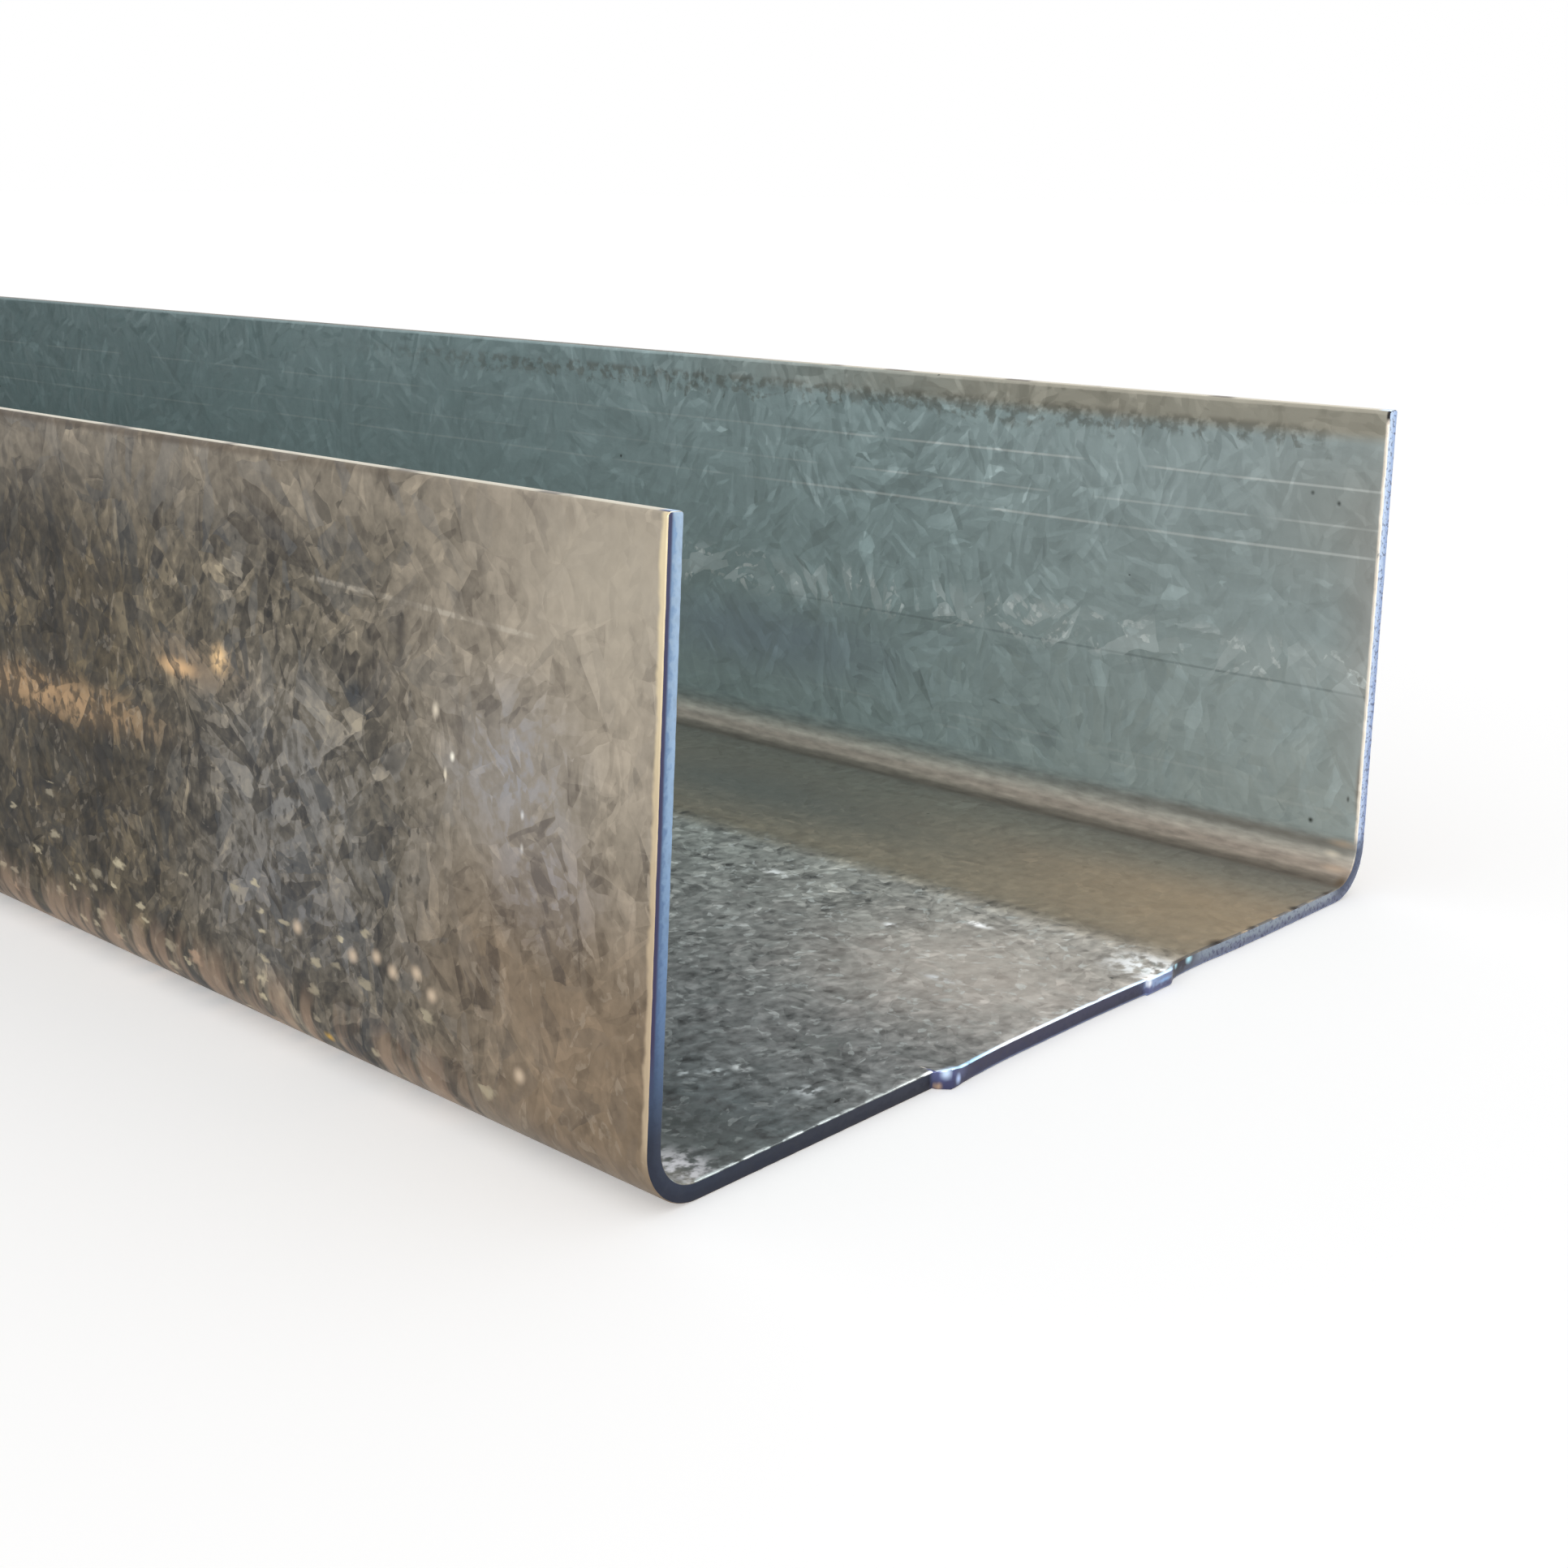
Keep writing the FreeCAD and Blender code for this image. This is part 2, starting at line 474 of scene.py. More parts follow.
def flat_map(sheet, depth, raw):
    """Each corner's place on the map, from its place on the flat strip and its depth in it."""
    _, s, back = parts_of(sheet)
    outer = calc("GREATER_THAN", per_face(depth), 0.5)
    rest = calc("GREATER_THAN", per_face(back), FRONT_REACH)
    u = pick(rest, spread_over(back, 0.0, FRONT_REACH + BAND_OVERLAP),
             spread_over(back, FRONT_REACH - BAND_OVERLAP, LENGTH))
    around = calc("ABSOLUTE", depth - outer)
    way = calc("SIGN", s - STRIP_WIDTH / 2)
    share = (around * way * STRIP_THICKNESS + s) / STRIP_WIDTH
    front_v = share * FRONT_HEIGHT + pick(outer, *FRONT_BANDS)
    rest_v = share * REST_HEIGHT + pick(outer, *REST_BANDS)
    v = pick(rest, front_v, rest_v)
    end_u = spread_over(s, 0.0, STRIP_WIDTH)
    end_v = depth * END_HEIGHT + pick(rest, *END_BANDS)
    raw_face = per_face(raw)
    return vector(pick(raw_face, u, end_u), pick(raw_face, v, end_v))


# %% The rough cut
def cut_tree(outside, inside, raw_edge):
    """The tree that roughens the end; outside, inside and raw_edge are the strip's three materials."""
    inputs = [("Strip", GEOMETRY, None)] + [(name, FLOAT, value) for name, value in CUT_SIZES]
    tree, given, result = new_tree("rough cut", "GeometryNodeTree", inputs, [("Strip", GEOMETRY)])
    place = parts_of(add(tree, "GeometryNodeInputPosition"))
    sheet = add(tree, "GeometryNodeInputNamedAttribute", "sheet", data_type="FLOAT_VECTOR")
    depth = add(tree, "GeometryNodeInputNamedAttribute", "depth", data_type="FLOAT")
    moved = cut_move(given, place, parts_of(sheet)[2])
    finished = add(tree, "GeometryNodeSetPosition", given["Strip"], None, None, moved)
    outer = calc("GREATER_THAN", depth, 0.5)
    end_face, slit_face, step_wall = raw_faces(tree, given, place)
    for chosen, material in ((None, inside), (outer, outside), (end_face, raw_edge), (slit_face, raw_edge),
                             (step_wall, raw_edge)):
        finished = add(tree, "GeometryNodeSetMaterial", finished, chosen, material)
    flat_place = flat_map(sheet, depth, calc("MAXIMUM", end_face, step_wall))
    mapped = keep(finished, "OFBake", flat_place, "FLOAT2", "CORNER")
    feed(result[0], add(tree, "GeometryNodeRealizeInstances", mapped))
    return tree


# %% [markdown]
# Hot zinc freezes on the strip in grains, and each grain grows feathers in its own direction: that is the
# spangle. An image of it would tile and blur, so it is built from Voronoi cells. Large cells are the
# grains. Inside each grain the place is turned by the grain's own angle and squeezed, and smaller cells
# with a Manhattan distance then come out as pointed leaves. The group works in millimetres on the flat
# strip, so the pattern runs round the bends.

# %% Colours as they look on a screen
def paint(red, green, blue, alpha=1.0):
    """A screen colour, 0 to 255 each, as the linear values that shaders take."""
    def linear(level):
        level /= 255
        return level / 12.92 if level <= 0.04045 else ((level + 0.055) / 1.055) ** 2.4
    return (linear(red), linear(green), linear(blue), alpha)


def blend(share, under, over, kind="MIX"):
    """One colour over another; each is a field or a screen colour."""
    under, over = (colour if isinstance(colour, Field) else paint(*colour) for colour in (under, over))
    tree = tree_of(share, under, over)
    return add(tree, "ShaderNodeMix", share, under, over, data_type="RGBA", blend_type=kind)


def brightened(colour, gain):
    return blend(1.0, colour, vector(gain, gain, gain), "MULTIPLY")


def ramp(value, stops):
    """Colours along a value; stops are (value, screen colour), where a colour may have an alpha."""
    colours = add(value.tree, "ShaderNodeValToRGB", value)
    points = colours.node.color_ramp.elements
    while len(points) < len(stops):
        points.new(1.0)
    for point, (position, colour) in zip(points, stops):
        point.position = position
        point.color = paint(*colour)
    return colours


def streaks(place, along, across, detail):
    """Noise with its own scale along and across the strip."""
    return noise(move("MULTIPLY", place, (along, across, 0.0)), 1.0, detail)


def use(group, terms):
    """Places a node group, with terms for its named inputs."""
    node = tree_of(*terms.values()).nodes.new("ShaderNodeGroup")
    node.node_tree = group
    for name, term in terms.items():
        feed(node.inputs[name], term)
    return Field(node.outputs[0])


# %% Grains and leaves
FAN_RAYS = 11.0
LEAF_SOFTNESS = 0.12
LEAVES_APART = 40.0


def grain_cells(place, size, offset):
    """The grains of one layer: three random values each, and the place measured from the grain's centre."""
    shifted = move("ADD", place, (offset, offset * 0.6, 0.0))
    cells = add(place.tree, "ShaderNodeTexVoronoi", shifted, 1.0 / size, voronoi_dimensions="2D")
    return cells["Color"], move("SUBTRACT", shifted, cells["Position"])


def leaf_cells(squeezed, grain):
    """Leaves in a squeezed place: three random values each, and their pointed shape."""
    apart = move("ADD", squeezed, move("SCALE", grain, LEAVES_APART))
    cells = add(grain.tree, "ShaderNodeTexVoronoi", voronoi_dimensions="2D", distance="MANHATTAN",
                feature="SMOOTH_F1")
    for name, term in (("Vector", apart), ("Scale", 1.0), ("Smoothness", LEAF_SOFTNESS)):
        feed(cells.node.inputs[name], term)
    return parts_of(cells["Color"]), ease(cells["Distance"], 0.85, 0.4)


def parallel_leaves(place, size, length, width, spread, offset):
    """Leaves that lie side by side, turned from upright by their grain's share of the spread."""
    grain, local = grain_cells(place, size, offset)
    own_turn, own_tone, _ = parts_of(grain)
    turned = add(place.tree, "ShaderNodeVectorRotate", local, rotation_type="Z_AXIS")
    feed(turned.node.inputs["Angle"], (own_turn - 0.5) * spread * math.tau)
    squeezed = move("MULTIPLY", turned, vector(1.0 / width, 1.0 / length, 0.0))
    return leaf_cells(squeezed, grain) + (own_tone,)


def fan_leaves(place, size, length, offset):
    """Leaves that spread from the centre of their grain like a palm."""
    grain, local = grain_cells(place, size, offset)
    x, y, _ = parts_of(local)
    angle = calc("ARCTAN2", y, x) * (FAN_RAYS / math.tau)
    radius = move("LENGTH", local) / length
    return leaf_cells(vector(angle, radius, 0.0), grain)


def leaf_tone(value, shape):
    """Most leaves are faint and a few stand out, lighter or darker: from -1 to 1."""
    centred = value * 2.0 - 1.0
    return centred * centred * centred * (shape * 0.3 + 0.7)


# %% The spangle
def spangle_group():
    """Three layers of leaves over faint grains: a tone, masks of the leaves that stand out, and a tilt."""
    inputs = [
        ("Place", VECTOR, None),
        ("Grain Size", FLOAT, 7.0),
        ("Leaf Length", FLOAT, 4.0),
        ("Leaf Width", FLOAT, 0.9),
        ("Spread", FLOAT, 0.5),
        ("Grains", FLOAT, 0.06),
        ("Large Leaves", FLOAT, 0.34),
        ("Small Leaves", FLOAT, 0.3),
        ("Fans", FLOAT, 0.3),
        ("Mottle", FLOAT, 0.3),
    ]
    outputs = [("Tone", FLOAT), ("Glint", FLOAT), ("Sliver", FLOAT), ("Tint", FLOAT), ("Facet", VECTOR)]
    tree, given, result = new_tree("zinc spangle", "ShaderNodeTree", inputs, outputs)
    flat = move("MULTIPLY", given["Place"], (1.0, 1.0, 0.0))
    drift = move("SUBTRACT", noise(flat, 0.5, 1.0)["Color"], (0.5, 0.5, 0.5))
    bent = move("ADD", flat, move("SCALE", drift, 0.5))
    grain, length, width, spread = (given[n] for n in ("Grain Size", "Leaf Length", "Leaf Width", "Spread"))
    large, large_shape, body = parallel_leaves(bent, grain, length, width, spread, 0.0)
    small, small_shape, _ = parallel_leaves(bent, grain * 0.6, length * 0.5, width * 0.45, spread, 57.0)
    fan, fan_shape = fan_leaves(bent, grain * 1.3, length, 131.0)

    layers = ((large, large_shape), (small, small_shape), (fan, fan_shape))
    tones = [leaf_tone(leaves[0], shape) for leaves, shape in layers]
    tone = (body - 0.5) * given["Grains"] + 0.5
    for part, strength in zip(tones, ("Large Leaves", "Small Leaves", "Fans")):
        tone = part * given[strength] + tone
    grainy = noise(flat, 0.9, 4.0) - 0.5
    broken = ease(noise(flat, 1.1, 3.0), 0.42, 0.6)
    lean_x = tones[0] + tones[1] + leaf_tone(fan[1], fan_shape)
    lean_y = leaf_tone(large[1], large_shape) + leaf_tone(small[2], small_shape)
    feed(result["Tone"], grainy * given["Mottle"] + tone)
    feed(result["Glint"], ease(small[1], 0.78, 0.96) * broken)
    feed(result["Tint"], ease(large[1], 0.5, 0.95))
    feed(result["Sliver"], ease(large[2], 0.94, 0.97) * large_shape)
    feed(result["Facet"], vector(lean_x, lean_y, 0.0))
    return tree


SPANGLE = spangle_group()
print("spangle group:", len(SPANGLE.nodes), "nodes")

# %% [markdown]
# Each leaf also lies at its own slight tilt, which is why zinc glitters. The tilt has to reach the shader
# as a normal: the surface normal, leaned along the length and across the strip by the leaf's two random
# values.

# %% Facets
def facet_group():
    inputs = [("Facet", VECTOR, None), ("Lean", FLOAT, 0.1)]
    tree, given, result = new_tree("zinc facets", "ShaderNodeTree", inputs, [("Normal", VECTOR)])
    normal = add(tree, "ShaderNodeNewGeometry")["Normal"]
    along = (1.0, 0.0, 0.0)
    across = move("CROSS_PRODUCT", normal, along)
    lean = parts_of(move("SCALE", given["Facet"], given["Lean"]))
    leaned = move("ADD", move("SCALE", along, lean[0]), move("SCALE", across, lean[1]))
    feed(result["Normal"], move("NORMALIZE", move("ADD", normal, leaned)))
    return tree


FACETS = facet_group()

# %% [markdown]
# The rolls leave marks that run along the strip, thin and broken. Stains, and the painted glints and
# sheens, are soft patches, and grit and specks are scattered dots. Each is a small group of its own, so
# that the three finishes can all use them.

# %% Marks along the strip
def roll_mark_group():
    inputs = [("Place", VECTOR, None), ("Across", FLOAT, 0.0), ("Width", FLOAT, 0.2), ("Broken", FLOAT, 0.5)]
    tree, given, result = new_tree("roll mark", "ShaderNodeTree", inputs, [("Mask", FLOAT)])
    x, s, _ = parts_of(given["Place"])
    own = given["Across"] * 7.3
    wander = noise(vector(x * 0.02, own), 1.0) - 0.5
    away = calc("ABSOLUTE", s - (wander * 0.4 + given["Across"]))
    core = ease(away / given["Width"], 0.75, 0.25)
    gaps = noise(vector(x * 0.09, own), 1.0, 4.0)
    whole = ease(gaps, given["Broken"] - 0.1, given["Broken"] + 0.1)
    feed(result["Mask"], core * whole)
    return tree


ROLL_MARK = roll_mark_group()


# %% Soft patches
def patch_group():
    inputs = [
        ("Place", VECTOR, None),
        ("Back", FLOAT, 0.0),
        ("Across", FLOAT, 0.0),
        ("Reach Back", FLOAT, 10.0),
        ("Reach Across", FLOAT, 10.0),
    ]
    tree, given, result = new_tree("soft patch", "ShaderNodeTree", inputs, [("Mask", FLOAT)])
    _, s, back = parts_of(given["Place"])
    along = (back - given["Back"]) / given["Reach Back"]
    across = (s - given["Across"]) / given["Reach Across"]
    apart = calc("SQRT", along * along + across * across)
    feed(result["Mask"], ease(apart, 1.0, 0.0))
    return tree


PATCH = patch_group()


# %% Scattered dots
def dots_group():
    inputs = [
        ("Place", VECTOR, None),
        ("Spacing", FLOAT, 5.0),
        ("Size", FLOAT, 0.5),
        ("Stretch", FLOAT, 1.0),
        ("Share", FLOAT, 0.3),
    ]
    outputs = [("Mask", FLOAT), ("Shade", FLOAT)]
    tree, given, result = new_tree("scattered dots", "ShaderNodeTree", inputs, outputs)
    flat = move("MULTIPLY", given["Place"], vector(1.0 / given["Stretch"], 1.0))
    ripple = move("SCALE", noise(flat, 1.7)["Color"], given["Size"])
    cells = add(tree, "ShaderNodeTexVoronoi", move("ADD", flat, ripple), 1.0 / given["Spacing"],
                voronoi_dimensions="2D")
    chance, own_size, shade = parts_of(cells["Color"])
    radius = given["Size"] / (given["Spacing"] * 2.0) * (own_size * 0.8 + 0.5)
    dot = ease(cells["Distance"] / radius, 1.3, 0.4)
    feed(result["Mask"], dot * calc("LESS_THAN", chance, given["Share"]))
    feed(result["Shade"], shade)
    return tree


DOTS = dots_group()
print("shared effects:", [g.name for g in (SPANGLE, FACETS, ROLL_MARK, PATCH, DOTS)])


# %% Helpers for the finishes
STRIP_END = STRIP_WIDTH / MM


def new_finish(name):
    material = bpy.data.materials.new(name)
    material.use_nodes = True
    return material, material.node_tree, material.node_tree.nodes["Principled BSDF"]


def strip_place(tree):
    """The place on the flat strip in millimetres: along the length, across it, and back from the cut."""
    sheet = add(tree, "ShaderNodeAttribute", attribute_name="sheet")["Vector"]
    return move("SCALE", sheet, 1 / MM)


def across_ramp(s, zones):
    """A colour ramp across the flat strip; zones are (millimetres, screen colour)."""
    return ramp(s / STRIP_END, [(millimetres / STRIP_END, colour) for millimetres, colour in zones])


def lay_patches(place, colour, patches, share=1.0):
    """Stains and painted light laid over a colour; patches are (back, across, reach back, reach across,
    colour, strength).
    """
    for back, across, reach_back, reach_across, overlay, strength in patches:
        patch = use(PATCH, {"Place": place, "Back": back, "Across": across,
                            "Reach Back": reach_back, "Reach Across": reach_across})
        colour = blend(patch["Mask"] * (share * strength), colour, overlay)
    return colour


def roll_mark(place, across, width, broken):
    return use(ROLL_MARK, {"Place": place, "Across": across, "Width": width, "Broken": broken})["Mask"]


def dots(place, spacing, size, stretch, share):
    return use(DOTS, {"Place": place, "Spacing": spacing, "Size": size, "Stretch": stretch, "Share": share})


def dress(shader, colour, metallic, roughness):
    feed(shader.inputs["Base Color"], colour)
    feed(shader.inputs["Metallic"], metallic)
    feed(shader.inputs["Roughness"], roughness)


def tilt(shader, zinc, lean):
    """Lets each leaf of the spangle catch the light at its own angle."""
    feed(shader.inputs["Normal"], use(FACETS, {"Facet": zinc["Facet"], "Lean": lean})["Normal"])


# %% [markdown]
# The outer face was handled and stored, so its zinc is dull, full of small upright crystals. It is brown,
# partly a painted reflection of a brown floor. It is paler towards the cut, partly clean zinc and partly
# painted light, paler along the top edge as painted light, and darker farther back as a painted falloff of
# the light. The finish is worked out from the distance to the nearer slit edge, so that both flanges wear
# it alike. The length that the picture doesn't show is evened out to a middle tone.

# %% Outside: the metal
OUTSIDE_SPANGLE = {
    "Grain Size": 7.0, "Leaf Length": 4.6, "Leaf Width": 1.5, "Spread": 0.42, "Grains": 0.14,
    "Large Leaves": 0.26, "Small Leaves": 0.16, "Fans": 0.16, "Mottle": 0.45,
}
DULL_ZINC = [(0.1, (34, 31, 27)), (0.36, (70, 65, 56)), (0.52, (97, 90, 77)), (0.7, (123, 114, 98)),
             (0.95, (168, 156, 133))]
PALE_ZINC = [(0.15, (102, 93, 82)), (0.45, (139, 130, 116)), (0.85, (170, 159, 143))]


def outside_metal(zinc, slow, clean_and_lit, from_slit, back):
    """The zinc itself, pale towards the cut, partly clean and partly painted light, and dull elsewhere: its
    colour and its tone.
    """
    contrast = (1.25 - clean_and_lit * 0.3) * (ease(from_slit, 3.0, 13.0) * 0.25 + 0.75)
    tone = slow * 0.35 + 0.5 + (zinc["Tone"] - 0.5) * contrast
    # Paler along the top edge: painted light.
    lit_top = ease(from_slit, 11.0, 2.0) * 0.5
    colour = blend(calc("MAXIMUM", clean_and_lit, lit_top), ramp(tone, DULL_ZINC), ramp(tone, PALE_ZINC))
    # Browner low down near the cut: a painted reflection of a brown floor.
    brown = ease(from_slit, 20.0, 38.0) * clean_and_lit
    colour = blend(brown * 0.85, colour, (206, 188, 168), "MULTIPLY")
    # Some leaves painted bluish: a painted reflection of the sky in their facets.
    blue = zinc["Tint"] * (0.26 - clean_and_lit * 0.2)
    colour = blend(blue, colour, (94, 100, 106))
    # Darker farther back from the cut: a painted falloff of the light.
    far_back = ease(back, 44.0, 76.0) * ease(from_slit, 0.0, 14.0)
    darker = ease(back, 300.0, 120.0) * 0.6 + 0.3
    colour = blend(far_back * darker, colour, (168, 159, 138), "MULTIPLY")
    unseen = ease(back, 105.0, 330.0)
    return blend(unseen * 0.62, colour, (158, 155, 147)), tone


# %% [markdown]
# Dirt gathers low on the flange: fine dark flecks in the dull zinc, pale grit, a row of rust specks, a
# few dried droplets, and a bottom bend that was rubbed on the ground. Pale glints are painted on some
# leaves. The rolls left one pale line, and the cut a worn arris, painted pale as a highlight.

# %% Outside: dirt, wear and painted highlights
DROPLET = (0.95, 0.9, (204, 184, 160), 0.9)
DROPLETS = [(35.0, 39.0), (31.9, 38.3), (29.8, 39.0), (26.8, 38.3), (24.9, 39.6), (42.6, 38.5), (14.4, 43.0)]


def outside_dirt_and_glints(colour, place, zinc, clean_and_lit, from_slit, back):
    dark = zinc["Sliver"] * ease(clean_and_lit, 0.8, 0.1)
    colour = blend(dark * 0.55, colour, (38, 36, 34))
    # Painted glints on some leaves, away from the top edge.
    shine = zinc["Glint"] * ease(from_slit, 5.0, 13.0)
    colour = blend(shine * 0.16, colour, (196, 184, 166))
    dirty = ease(clean_and_lit, 0.7, 0.1) * ease(from_slit, 4.0, 12.0) * ease(back, 300.0, 105.0)
    flecks = dots(place, 1.5, 0.75, 0.7, dirty * 0.32)
    colour = blend(flecks["Mask"] * 0.6, colour, (46, 43, 39))
    gritty = ease(from_slit, 30.0, 47.0) * ease(from_slit, 55.0, 51.0) * ease(back, 6.0, 45.0)
    grit = dots(place, 1.9, 0.75, 2.0, gritty * 0.5)
    grit_colour = blend(grit["Shade"], (142, 134, 116), (204, 192, 162))
    colour = blend(grit["Mask"] * 0.75, colour, grit_colour)
    row = ease(from_slit, 43.0, 45.0) * ease(from_slit, 50.0, 48.0) * ease(back, 28.0, 44.0)
    rust = dots(place, 2.2, 1.0, 2.2, row * 0.5)
    colour = blend(rust["Mask"] * 0.6, colour, (190, 160, 134))
    colour = lay_patches(place, colour, [(*spot, *DROPLET) for spot in DROPLETS])
    foot = ease(from_slit, 42.0, 47.5) * ease(back, 6.0, 30.0)
    rubbed = foot * ease(streaks(place, 0.5, 0.12, 3.0), 0.35, 0.65)
    return blend(rubbed * 0.7, colour, (176, 150, 126))


def outside_wear_and_highlight(colour, place, s, from_slit, back, light_leaves):
    level = move("ADD", place, vector(0.0, back * 0.03, 0.0))
    line = roll_mark(level, 10.6, 0.4, 0.5) * ease(back, 55.0, 36.0)
    colour = blend(line * (light_leaves * 0.3 + 0.1), colour, (190, 182, 168))
    under_slit = ease(from_slit, 0.9, 0.4) * ease(back, 14.0, 60.0)
    colour = blend(under_slit * 0.6, colour, (78, 66, 54))
    # The worn arris at the cut, painted pale as a highlight.
    uneven = noise(vector(back, s), 0.45, 2.0) - 0.5
    arris = ease(uneven * 0.7 + back, 0.75, 0.3) * ease(s, 47.0, 43.0)
    arris_colour = blend(ease(s, 4.0, 34.0), (208, 193, 160), (178, 160, 134))
    return blend(arris, colour, arris_colour)


# %% [markdown]
# Marks that belong to one place are laid on as patches, each with its place in millimetres back from the
# cut and across the strip. Stains cover what lies under them; their list also holds painted glints and a
# pale patch of painted light at the top by the cut. Sheens are painted reflections, wide and soft, and
# show mostly on the light leaves.

# %% Outside finish
# Dark stains and a yellow fleck, with painted light: the first patch is painted light by the top of the cut,
# and the white ones are painted glints.
OUTSIDE_STAINS_AND_GLINTS = [
    (4.0, 5.0, 18.0, 13.0, (178, 169, 153), 0.5),
    (29.0, 12.0, 1.1, 3.2, (44, 41, 40), 0.7),
    (46.3, 28.6, 0.8, 3.6, (30, 30, 32), 0.9),
    (50.0, 19.9, 1.2, 1.8, (36, 34, 32), 0.8),
    (56.1, 32.7, 1.6, 1.2, (30, 29, 28), 0.8),
    (63.7, 32.4, 2.2, 0.9, (28, 27, 26), 0.8),
    (83.4, 34.4, 3.0, 0.9, (26, 25, 24), 0.8),
    (34.7, 17.6, 1.8, 1.8, (52, 56, 60), 0.9),
    (22.7, 20.4, 0.4, 0.55, (255, 250, 232), 1.0),
    (23.5, 21.9, 0.3, 0.8, (248, 236, 212), 0.7),
    (24.7, 17.2, 0.6, 0.9, (240, 228, 206), 0.7),
    (14.6, 23.2, 0.3, 0.5, (236, 236, 234), 0.7),
    (14.6, 25.7, 0.3, 0.6, (226, 222, 214), 0.6),
    (39.0, 46.5, 0.9, 0.5, (216, 172, 56), 0.9),
]
# Painted reflections: grey and bluish sheens, a warm sheen and warm glints.
OUTSIDE_SHEENS = [
    (42.0, 27.0, 26.0, 15.0, (128, 129, 130), 0.55),
    (44.0, 38.0, 22.0, 9.0, (117, 120, 127), 0.5),
    (82.0, 25.6, 28.0, 3.4, (186, 152, 112), 0.8),
    (57.0, 19.0, 12.0, 3.4, (150, 124, 94), 0.4),
    (53.5, 17.9, 1.9, 1.9, (240, 202, 148), 1.0),
    (60.0, 19.6, 4.2, 1.2, (222, 182, 134), 0.9),
    (16.0, 20.0, 11.0, 9.0, (138, 143, 155), 0.55),
    (12.0, 28.0, 9.0, 7.0, (138, 139, 150), 0.45),
]


def zinc_outside():
    material, tree, shader = new_finish("zinc_outside")
    place = strip_place(tree)
    _, s, back = parts_of(place)
    from_slit = calc("MINIMUM", s, STRIP_END - s)
    zinc = use(SPANGLE, {"Place": place, **OUTSIDE_SPANGLE})
    slow = streaks(place, 0.04, 0.07, 3.0) - 0.5
    border = 40.0 - ease(from_slit, 22.0, 40.0) * 8.0
    # Paler towards the cut: partly clean zinc, partly painted light.
    clean_and_lit = ease(slow * 26.0 + back, border, 14.0)
    light_leaves = ease(zinc["Tone"], 0.44, 0.6)
    colour, tone = outside_metal(zinc, slow, clean_and_lit, from_slit, back)
    # Stains and painted glints, then painted sheens over the light leaves.
    colour = lay_patches(place, colour, OUTSIDE_STAINS_AND_GLINTS)
    colour = lay_patches(place, colour, OUTSIDE_SHEENS, light_leaves * 0.75 + 0.25)
    colour = outside_dirt_and_glints(colour, place, zinc, clean_and_lit, from_slit, back)
    colour = outside_wear_and_highlight(colour, place, s, from_slit, back, light_leaves)
    dress(shader, colour, 0.6, 0.54 - tone * 0.15)
    tilt(shader, zinc, 0.06)
    return material


outside = zinc_outside()
print("outside:", len(outside.node_tree.nodes), "nodes")

# %% [markdown]
# The inner face is cleaner and cooler. Its colour changes across the strip: grey on the web, painted
# darker on its near side as shade, blue-green on the flanges, partly a painted reflection, tan on the web
# where the far flange's shadow falls, as a painted warm reflection, and tan in the bends, where the rolls
# rubbed dirt into streaks between pale lines of painted highlight. One colour ramp across the strip holds
# these zones. A second ramp, along the length, darkens them all with the distance from the cut, partly as
# dulling and partly as a painted falloff of the light, and the length that the picture doesn't show is
# evened out.

# %% Inside colours
WEB_START, WEB_END, FLANGE_START = 50.5, 142.5, 148.1
FALLOFF_REACH = 600.0
# Across the strip: the web's dark near side is painted shade, the tan from 116 to 138 mm is a painted warm
# reflection in the far flange's shadow, and the pale lines in the far bend are painted highlights.
INSIDE_ZONES = [
    (0.0, (150, 150, 142)),
    (3.0, (164, 176, 176)),
    (40.0, (160, 172, 172)),
    (44.8, (150, 142, 130)),
    (WEB_START + 1.5, (58, 64, 63)),
    (62.0, (64, 70, 71)),
    (76.0, (95, 96, 95)),
    (94.0, (128, 125, 121)),
    (112.0, (150, 145, 138)),
    (116.0, (158, 143, 123)),
    (130.0, (172, 152, 130)),
    (138.0, (146, 139, 126)),
    (WEB_END - 0.2, (132, 130, 122)),
    (WEB_END + 0.6, (112, 104, 95)),
    (WEB_END + 1.2, (104, 96, 86)),
    (WEB_END + 1.8, (144, 133, 121)),
    (WEB_END + 2.5, (158, 146, 133)),
    (WEB_END + 3.2, (136, 125, 114)),
    (WEB_END + 3.8, (168, 160, 148)),
    (WEB_END + 4.4, (176, 170, 159)),
    (WEB_END + 5.0, (152, 154, 149)),
    (FLANGE_START + 1.0, (164, 176, 175)),
    (STRIP_END, (164, 176, 176)),
]
# Darker with distance from the cut: partly dulling, partly a painted falloff of the light.
DULLING_AND_FALLOFF = [(0.0, (255, 255, 255)), (0.1, (230, 239, 240)), (0.225, (208, 221, 223)), (0.5, (172, 188, 190)),
           (1.0, (210, 218, 219))]


def inside_base(s, back):
    """The zones across the strip, darkened with the distance back from the cut: dulling and painted falloff.
    """
    dimmed = blend(1.0, across_ramp(s, INSIDE_ZONES), ramp(back / FALLOFF_REACH, DULLING_AND_FALLOFF), "MULTIPLY")
    unseen = ease(back, 280.0, 520.0)
    return blend(unseen * 0.75, dimmed, (156, 163, 162))


# %% [markdown]
# The leaves of the spangle swing the zones' colour lighter and darker. The swing is strong on the web,
# where the crystals stand out, weak on the flanges, and turns to streaks along the strip in the far bend.

